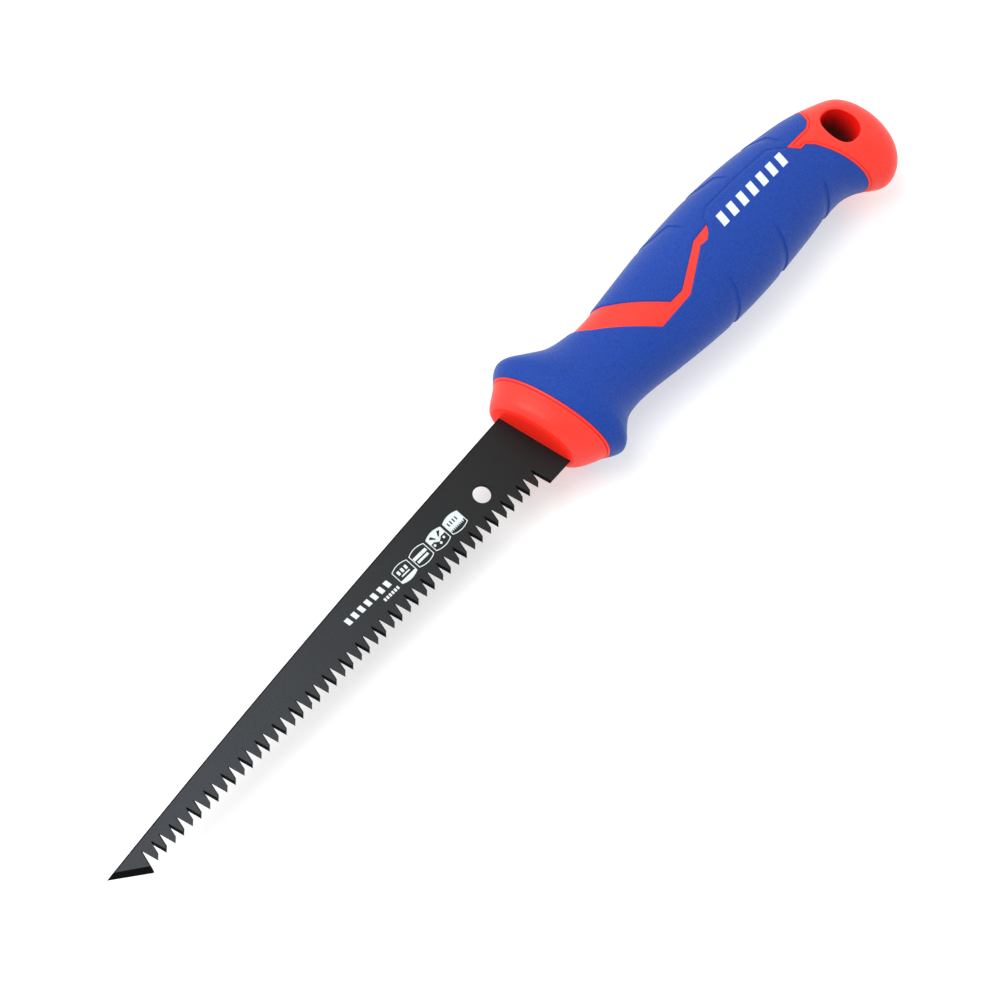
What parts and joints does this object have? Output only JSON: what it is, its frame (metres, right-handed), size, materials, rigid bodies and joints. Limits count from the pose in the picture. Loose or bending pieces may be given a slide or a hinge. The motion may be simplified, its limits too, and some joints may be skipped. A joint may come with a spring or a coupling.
{
  "type": "drywall saw",
  "caption": "Jab saw for plasterboard: tapered toothed steel blade with a chisel nose and a round hole, in a contoured soft-sleeved handle with a guard and a hang hole in its butt.",
  "frame": {"origin": "bottom centre of the bounding box, with the saw lying on its side", "axes": "+X along the tooth line from the nose to the butt, +Y from the teeth to the back of the blade, +Z square to the blade"},
  "size_m": [0.3112, 0.041, 0.0272],
  "materials": {
    "coated_steel": "matt black coating on ground spring steel",
    "red_plastic": "satin moulded polypropylene",
    "blue_rubber": "matt, finely textured thermoplastic rubber",
    "white_ink": "pad-printed ink"
  },
  "bodies": {
    "root": {"blade": "coated_steel", "handle_body": "red_plastic", "grip_sleeve": "blue_rubber"}
  },
  "joints": []
}
